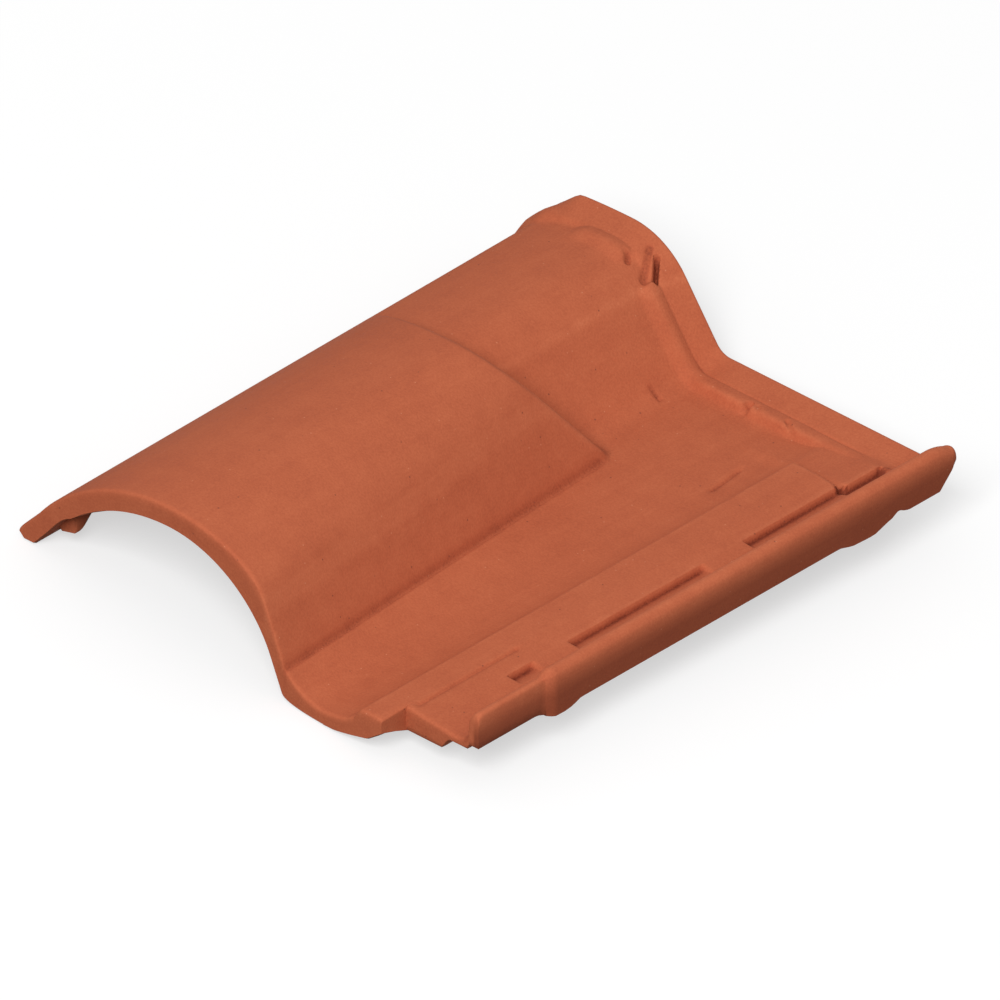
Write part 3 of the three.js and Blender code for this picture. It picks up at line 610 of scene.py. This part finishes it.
# Columns left of the first place, and rows before the second and past the third, don't follow the wide roll. Rows
# past the last place follow the head edge.
FIXED_LEFT, FIXED_TAIL, FIXED_HEAD, HEAD_START = 40.0, 40.0, 380.0, 400.0
GRID_ROUNDS = 6  # columns and rows follow each other, so both are worked out in turn


def tile_grid(columns, rows):
    """Plan positions of the grid: columns follow the crease, rows follow the wide roll's end, and the outer
    lines follow the tile's outline. The lines between a fixed one and the one that follows are spread evenly."""
    u, v = np.meshgrid(columns, rows, indexing="ij")
    x, y = u.copy(), v.copy()
    for _ in range(GRID_ROUNDS):
        crease = crease_x(y)
        roll = FIXED_LEFT + (u - FIXED_LEFT) * (crease - FIXED_LEFT) / (CREASE["step_x"] - FIXED_LEFT)
        pan = PAN["edge_x"] - (PAN["edge_x"] - u) * (PAN["edge_x"] - crease) / (PAN["edge_x"] - CREASE["step_x"])
        x = np.where((u > FIXED_LEFT) & (u <= CREASE["step_x"]), roll, u)
        x = np.where((u > CREASE["step_x"]) & (u < PAN["edge_x"]), pan, x)
        end = CREASE["step_y"] - STEP_LEAN * (np.maximum(roll_height(x, y), PAN["floor"]) - PAN["floor"])
        end = np.where(x < crease, end, CREASE["step_y"])
        tail_side = FIXED_TAIL + (v - FIXED_TAIL) * (end - FIXED_TAIL) / (CREASE["step_y"] - FIXED_TAIL)
        head_side = FIXED_HEAD - (FIXED_HEAD - v) * (FIXED_HEAD - end) / (FIXED_HEAD - CREASE["step_y"])
        y = np.where((v > FIXED_TAIL) & (v <= CREASE["step_y"]), tail_side, v)
        y = np.where((v > CREASE["step_y"]) & (v < FIXED_HEAD), head_side, y)
    inner = WIDTH - UPSTAND["thick"]
    x = np.where(x > inner, inner + (x - inner) * (right_line(y) - inner) / UPSTAND["thick"], x)
    notch = np.where(u > NOTCH["x"] + 0.1, NOTCH["depth"], 0.0)
    y = np.where(y < FIXED_TAIL, notch + y * (FIXED_TAIL - notch) / FIXED_TAIL, y)
    stretch = (head_line(x) - HEAD_START) / (LENGTH - HEAD_START)
    y = np.where(y > HEAD_START, HEAD_START + (y - HEAD_START) * stretch, y)
    return x, y


def edge_drop(x, y):
    """How far the faces are rounded off towards the tile's outline: a quarter circle of the distance from it."""
    r = EDGE_ROUND
    beside = np.hypot(np.maximum(NOTCH["x"] - x, 0), np.maximum(y - NOTCH["depth"], 0))
    distance = np.minimum(np.minimum(x, y), np.minimum(head_line(x) - y, beside))
    distance = np.minimum(distance, right_line(y) - x + np.where(y > INSET["end"], r, 0))
    near = np.clip(distance, 0, r)
    return r - np.sqrt(r * r - (r - near) ** 2)


def faces_at(x, y):
    """Heights of the upper and the lower face, rounded off towards the outline, the lower one half as much."""
    top = top_height(x, y)
    under = np.minimum(under_height(x, y), top - THINNEST)
    drop = np.minimum(edge_drop(x, y), (top - under) / 2)
    return top - drop, under + 0.5 * drop


def border(index):
    """The outermost points of a grid of point numbers, in order round it."""
    return np.concatenate([index[:-1, 0], index[-1, :-1], index[:0:-1, -1], index[0, :0:-1]])


def quads_of(index):
    """The four corners of each cell of a grid of point numbers."""
    return np.stack([index[:-1, :-1], index[1:, :-1], index[1:, 1:], index[:-1, 1:]], -1).reshape(-1, 4)


def smoothed(field, spread):
    """A field averaged along both of its axes with a bell-shaped weight, spread in grid steps."""
    reach = int(3 * spread)
    weight = np.exp(-0.5 * (np.arange(-reach, reach + 1) / spread) ** 2)
    weight /= weight.sum()
    for axis in (0, 1):
        pad = [(reach, reach) if axis == a else (0, 0) for a in (0, 1)]
        padded = np.pad(field, pad, mode="edge")
        count = field.shape[axis]
        field = sum(w * np.take(padded, np.arange(i, i + count), axis) for i, w in enumerate(weight))
    return field


# Spreads of the near and the wide average in millimetres, the heights that count, and the lowest relief.
RELIEF = dict(near=0.8, wide=2.5, heights=(-8, 60), lowest=-1.4)
SHADE_RELIEF = 3  # places of painted shade count as hollows this much deeper


def relief_of(height, x, y):
    """How far a face stands above its own surroundings, in millimetres: above 0 on crests and edges and below 0
    in grooves. It is a near average of the height less a wide one on an even grid of 1 mm, read off at each point."""
    across, along = np.arange(0.5, WIDTH), np.arange(0.5, LENGTH)
    grid_x, grid_y = np.meshgrid(across, along, indexing="ij")
    field = np.clip(height(grid_x, grid_y), *RELIEF["heights"])
    field = smoothed(field, RELIEF["near"]) - smoothed(field, RELIEF["wide"])
    i = np.clip(x - 0.5, 0, len(across) - 1.001)
    j = np.clip(y - 0.5, 0, len(along) - 1.001)
    i0, j0 = i.astype(int), j.astype(int)
    fi, fj = i - i0, j - j0
    low = field[i0, j0] * (1 - fj) + field[i0, j0 + 1] * fj
    high = field[i0 + 1, j0] * (1 - fj) + field[i0 + 1, j0 + 1] * fj
    return low * (1 - fi) + high * fi


WALL_ROWS = (0.25, 0.5, 0.75, 1.0)
# The outer side's painted shade: it comes in over the last of the width, and fades out upwards.
OUTER_SHADE = dict(across=(WIDTH - 4.5, WIDTH - 2.5), up=(28, 41))
SHARP_EDGE = math.radians(56)
MILLIMETRE = 0.001


def build_tile():
    """A closed shell: the upper face on a fine grid, walls of a few rows round it, and the lower face on a
    coarser grid, whose outline is stitched to the walls with triangles."""
    columns, rows = lines(COLUMNS), lines(ROWS)
    x, y = tile_grid(columns, rows)
    top, edge = faces_at(x, y)
    index = np.arange(x.size).reshape(x.shape)
    ring = border(index)
    upper = np.stack([x, y, top], -1).reshape(-1, 3)
    low_edge = np.stack([x, y, edge], -1).reshape(-1, 3)[ring]
    # Places of painted shade count as deeper hollows, so the clay is darkened there as painted shade.
    relief = np.maximum(relief_of(top_height, x, y), RELIEF["lowest"]) - SHADE_RELIEF * painted_shade(x, y)
    relief = relief.ravel()
    points = [upper]
    reliefs = [relief]
    count = len(upper)
    sides = []
    above = ring
    for share in WALL_ROWS:
        points.append(between(upper[ring], low_edge, share))
        reliefs.append(relief[ring] * (1 - share))
        below = count + np.arange(len(ring))
        sides.append(np.stack([above, below, np.roll(below, -1), np.roll(above, -1)], -1))
        above = below
        count += len(ring)

    under_columns, under_rows = lines(UNDER_COLUMNS)[1:-1], lines(UNDER_ROWS)[1:-1]
    x, y = tile_grid(under_columns, under_rows)
    under = faces_at(x, y)[1]
    points.append(np.stack([x, y, under], -1).reshape(-1, 3))
    reliefs.append(-relief_of(under_height, x, y).ravel())
    inner = count + np.arange(x.size).reshape(x.shape)
    # Each point of the fine outline belongs to a point of the coarse outline, both numbered in order round it.
    loop = border(inner)
    number = np.zeros(inner.size, int)
    number[loop - count] = np.arange(len(loop))
    column_of = np.abs(columns[:, None] - under_columns[None, :]).argmin(1)
    row_of = np.abs(rows[:, None] - under_rows[None, :]).argmin(1)
    owner = number[border(inner[column_of[:, None], row_of[None, :]]) - count]
    owner[len(owner) // 2 :][owner[len(owner) // 2 :] == 0] = len(loop)
    fans = np.stack([above, loop[owner % len(loop)], np.roll(above, -1)], -1)
    turn = np.searchsorted(np.append(owner, len(loop)), np.arange(1, len(loop) + 1)) % len(above)
    turns = np.stack([above[turn], loop, np.roll(loop, -1)], -1)

    section = np.concatenate(points)
    # Painted shade on the outer side: it comes in near the right edge and fades out upwards.
    inset = WIDTH - right_line(section[:, 1])
    outer = ramp(section[:, 0] + inset, *OUTER_SHADE["across"])
    outer = outer * (1 - ramp(section[:, 2] + INSET["top_share"] * inset, *OUTER_SHADE["up"]))
    placed = section * MILLIMETRE @ np.array(LAY).T + np.array(TILE_ORIGIN)
    faces = quads_of(index).tolist() + quads_of(inner)[:, ::-1].tolist()
    faces += np.concatenate(sides).tolist() + fans.tolist() + turns.tolist()
    mesh = bpy.data.meshes.new("clay_tile")
    mesh.from_pydata(placed.tolist(), [], faces)
    # relief: crests paler as wear and hollows darker as painted shade; side: the outer side's painted shade.
    mesh.attributes.new("relief", "FLOAT", "POINT").data.foreach_set("value", np.concatenate(reliefs))
    mesh.attributes.new("side", "FLOAT", "POINT").data.foreach_set("value", outer)
    mesh.shade_smooth()
    mesh.set_sharp_from_angle(angle=SHARP_EDGE)
    piece = bpy.data.objects.new("clay_tile", mesh)
    bpy.context.scene.collection.objects.link(piece)
    return piece


# ---------------------------------------------------------------- light and floor
KEY = dict(direction=(0.407, -0.63, 0.662), distance=10.0, size=4.0, power=785)  # direction in the section frame
ROOM_LIGHT, ROOM_SEEN = 0.45, 1.0
FLOOR_HALF = 4
# Greys of the floor for the light that it sends back to the tile and as it shows, and its own glow as it shows.
FLOOR_DULL, FLOOR_LIT, FLOOR_GLOW = 0.04, 0.45, 0.58


def add_key():
    """Square lamp at a distance along a direction, which faces the tile."""
    direction = LAY @ Vector(KEY["direction"])
    data = bpy.data.lights.new("key", "AREA")
    data.shape = "SQUARE"
    data.size = KEY["size"]
    data.energy = KEY["power"]
    lamp = bpy.data.objects.new("key", data)
    bpy.context.scene.collection.objects.link(lamp)
    lamp.location = direction.normalized() * KEY["distance"]
    lamp.rotation_euler = direction.to_track_quat("Z", "Y").to_euler()


def backdrop_rays(nodes, links):
    """Output that is 1 for rays that show the backdrop, straight or by reflection or refraction, and 0 for light."""
    path = nodes.new("ShaderNodeLightPath")
    seen = path.outputs["Is Camera Ray"]
    for kind in ("Is Glossy Ray", "Is Transmission Ray"):
        either = nodes.new("ShaderNodeMath")
        either.operation = "MAXIMUM"
        links.new(seen, either.inputs[0])
        links.new(path.outputs[kind], either.inputs[1])
        seen = either.outputs[0]
    return seen


def diffuse(nodes, grey):
    """Matt surface of one grey."""
    node = nodes.new("ShaderNodeBsdfDiffuse")
    node.inputs["Color"].default_value = (grey, grey, grey, 1)
    return node.outputs[0]


def make_studio():
    """One wide soft lamp above the tail, an even pale room and a pale floor that keeps the tile's shadow. Room and
    floor show brighter than they light the tile."""
    add_key()
    world = bpy.data.worlds.new("studio")
    bpy.context.scene.world = world
    world.use_nodes = True
    nodes, links = world.node_tree.nodes, world.node_tree.links
    background = nodes["Background"]
    strength = nodes.new("ShaderNodeMapRange")
    strength.inputs["To Min"].default_value = ROOM_LIGHT
    strength.inputs["To Max"].default_value = ROOM_SEEN
    links.new(backdrop_rays(nodes, links), strength.inputs["Value"])
    links.new(strength.outputs[0], background.inputs["Strength"])
    background.inputs["Color"].default_value = (1, 1, 1, 1)

    mesh = bpy.data.meshes.new("floor")
    corners = [(side * FLOOR_HALF, end * FLOOR_HALF, 0) for side, end in ((-1, -1), (1, -1), (1, 1), (-1, 1))]
    mesh.from_pydata(corners, [], [(0, 1, 2, 3)])
    floor = bpy.data.objects.new("floor", mesh)
    bpy.context.scene.collection.objects.link(floor)
    pale = bpy.data.materials.new("pale_floor")
    pale.use_nodes = True
    nodes, links = pale.node_tree.nodes, pale.node_tree.links
    nodes.clear()
    glow = nodes.new("ShaderNodeEmission")
    glow.inputs["Color"].default_value = (1, 1, 1, 1)
    glow.inputs["Strength"].default_value = FLOOR_GLOW
    both = nodes.new("ShaderNodeAddShader")
    pick = nodes.new("ShaderNodeMixShader")
    out = nodes.new("ShaderNodeOutputMaterial")
    links.new(diffuse(nodes, FLOOR_LIT), both.inputs[0])
    links.new(glow.outputs[0], both.inputs[1])
    links.new(backdrop_rays(nodes, links), pick.inputs["Fac"])
    links.new(diffuse(nodes, FLOOR_DULL), pick.inputs[1])
    links.new(both.outputs[0], pick.inputs[2])
    links.new(pick.outputs[0], out.inputs["Surface"])
    floor.data.materials.append(pale)


# ---------------------------------------------------------------- fired clay
# Colours of the clay from its darkest, reached only with the painted shade in hollows, to its palest, the iron and
# sand specks in it, and what its outer side keeps of each colour under its painted shade.
CLAY_TONES = [
    (0.0, (0.215, 0.042, 0.019)),
    (0.3, (0.412, 0.094, 0.041)),
    (0.5, (0.480, 0.117, 0.051)),
    (0.7, (0.535, 0.141, 0.063)),
    (1.0, (0.640, 0.202, 0.099)),
]
IRON_SPECK, SAND_SPECK = (0.25, 0.065, 0.036), (0.58, 0.2, 0.105)
OUTER_SIDE_SHADE = (0.57, 0.52, 0.51)
NOISE = (0.3, 0.7)  # the range in which most of a noise lies


class Finish:
    """Nodes of one material, made by what they do."""

    def __init__(self, name):
        self.material = bpy.data.materials.new(name)
        self.material.use_nodes = True
        self.nodes, self.links = self.material.node_tree.nodes, self.material.node_tree.links
        self.shader = self.nodes["Principled BSDF"]
        self.place = self.nodes.new("ShaderNodeTexCoord").outputs["Object"]

    def feed(self, socket, value):
        """Links a node's output to a socket, or sets the socket to a plain value."""
        if hasattr(value, "is_linked"):
            self.links.new(value, socket)
        else:
            socket.default_value = value

    def grain(self, size, detail=2.0, stretch=(1, 1, 1), shift=0.0):
        """Cloudy noise whose patches are about size metres across, longer along an axis where stretch is below 1."""
        mapping = self.nodes.new("ShaderNodeMapping")
        mapping.inputs["Scale"].default_value = stretch
        mapping.inputs["Location"].default_value = (shift, shift, shift)
        self.links.new(self.place, mapping.inputs["Vector"])
        noise = self.nodes.new("ShaderNodeTexNoise")
        noise.inputs["Scale"].default_value = 1 / size
        noise.inputs["Detail"].default_value = detail
        noise.inputs["Roughness"].default_value = 0.55
        self.links.new(mapping.outputs[0], noise.inputs["Vector"])
        return noise.outputs["Fac"]

    def specks(self, spacing, size, share):
        """1 on scattered round specks of about size metres, in about a share of the cells of a random pattern."""
        cells = self.nodes.new("ShaderNodeTexVoronoi")
        cells.inputs["Scale"].default_value = 1 / spacing
        self.links.new(self.place, cells.inputs["Vector"])
        near = self.span(cells.outputs["Distance"], 0.5 * size / spacing, 0.25 * size / spacing, 0, 1)
        parts = self.nodes.new("ShaderNodeSeparateColor")
        self.links.new(cells.outputs["Color"], parts.inputs[0])
        chosen = self.span(parts.outputs[0], share, share * 0.8, 0, 1)
        return self.sum_of(near, chosen, "MULTIPLY")

    def attribute(self, name):
        """A number that the mesh holds at each point."""
        read = self.nodes.new("ShaderNodeAttribute")
        read.attribute_name = name
        return read.outputs["Fac"]

    def span(self, value, from_low, from_high, to_low, to_high):
        """A value carried from one range to another, and held at its ends."""
        node = self.nodes.new("ShaderNodeMapRange")
        self.feed(node.inputs["Value"], value)
        ends = {"From Min": from_low, "From Max": from_high, "To Min": to_low, "To Max": to_high}
        for name, number in ends.items():
            node.inputs[name].default_value = number
        return node.outputs[0]

    def sum_of(self, a, b, operation="ADD"):
        """Two numbers added, or put together in another way that is named."""
        node = self.nodes.new("ShaderNodeMath")
        node.operation = operation
        self.feed(node.inputs[0], a)
        self.feed(node.inputs[1], b)
        return node.outputs[0]

    def tones(self, value, stops):
        """Colour along a row of tones."""
        node = self.nodes.new("ShaderNodeValToRGB")
        ramp_stops = node.color_ramp.elements
        while len(ramp_stops) < len(stops):
            ramp_stops.new(0.5)
        for stop, (place, colour) in zip(ramp_stops, stops):
            stop.position = place
            stop.color = (*colour, 1)
        self.feed(node.inputs["Fac"], value)
        return node.outputs["Color"]

    def blend(self, share, under, over, kind="MIX"):
        """A share of one colour laid over another."""
        node = self.nodes.new("ShaderNodeMix")
        node.data_type = "RGBA"
        node.blend_type = kind
        self.feed(node.inputs["Factor"], share)
        self.feed(node.inputs[6], under if hasattr(under, "is_linked") else (*under, 1))
        self.feed(node.inputs[7], over if hasattr(over, "is_linked") else (*over, 1))
        return node.outputs[2]

    def bump(self, height, depth, strength, normal=None):
        """The surface's direction, tilted by the slope of a height, on top of an earlier one."""
        node = self.nodes.new("ShaderNodeBump")
        node.inputs["Distance"].default_value = depth
        node.inputs["Strength"].default_value = strength
        self.links.new(height, node.inputs["Height"])
        if normal:
            self.links.new(normal, node.inputs["Normal"])
        return node.outputs[0]


def make_clay():
    """Matt fired clay: broad shades from the kiln, finer mottling, streaks of the press along the tile and sandy
    grain add up to a tone. Edges are paler where they are worn, and hollows are darkened by the relief as painted
    shade. Iron and sand specks lie over it, and the outer side is darkened with painted shade."""
    clay = Finish("fired_clay")
    kiln = clay.grain(0.085, 1.5)
    mottle = clay.grain(0.014, 3.0, shift=0.3)
    streaks = clay.grain(0.006, 2.0, (1, 0.07, 1), shift=0.7)
    sand = clay.grain(0.0013, 2.0, shift=0.1)
    relief = clay.attribute("relief")

    tone = clay.span(kiln, *NOISE, 0.47, 0.55)
    for pattern, reach in ((mottle, 0.06), (streaks, 0.03), (sand, 0.11)):
        tone = clay.sum_of(tone, clay.span(pattern, *NOISE, -reach, reach))
    worn = clay.span(clay.sum_of(relief, clay.span(mottle, 0.35, 0.65, -0.15, 0.15)), 0.15, 0.9, 0, 0.12)
    # Painted shade: the tone is pushed darker where the relief is below 0, in grooves, creases and pockets.
    hollow = clay.span(relief, -0.5, -3.0, 0, 0.5)
    tone = clay.sum_of(clay.sum_of(tone, worn), hollow, "SUBTRACT")
    colour = clay.tones(tone, CLAY_TONES)
    colour = clay.blend(clay.specks(0.0085, 0.0014, 0.35), colour, IRON_SPECK)
    colour = clay.blend(clay.specks(0.0065, 0.0012, 0.3), colour, SAND_SPECK)
    # The outer side is darkened as painted shade.
    colour = clay.blend(clay.attribute("side"), colour, OUTER_SIDE_SHADE, "MULTIPLY")
    clay.links.new(colour, clay.shader.inputs["Base Color"])

    rough = clay.sum_of(clay.span(mottle, *NOISE, 0.8, 0.9), clay.span(sand, *NOISE, -0.05, 0.05))
    clay.links.new(rough, clay.shader.inputs["Roughness"])
    clay.shader.inputs["Specular IOR Level"].default_value = 0.2
    surface = clay.bump(clay.grain(0.009, 3.0, shift=0.5), 0.0006, 0.35)
    surface = clay.bump(streaks, 0.0003, 0.25, surface)
    surface = clay.bump(sand, 0.0003, 0.5, surface)
    clay.links.new(surface, clay.shader.inputs["Normal"])
    return clay.material


make_camera()
make_studio()
tile = build_tile()
tile.data.materials.append(make_clay())
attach(tile, "root")
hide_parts("roof_tile")

bpy.context.scene.view_settings.view_transform = "Standard"
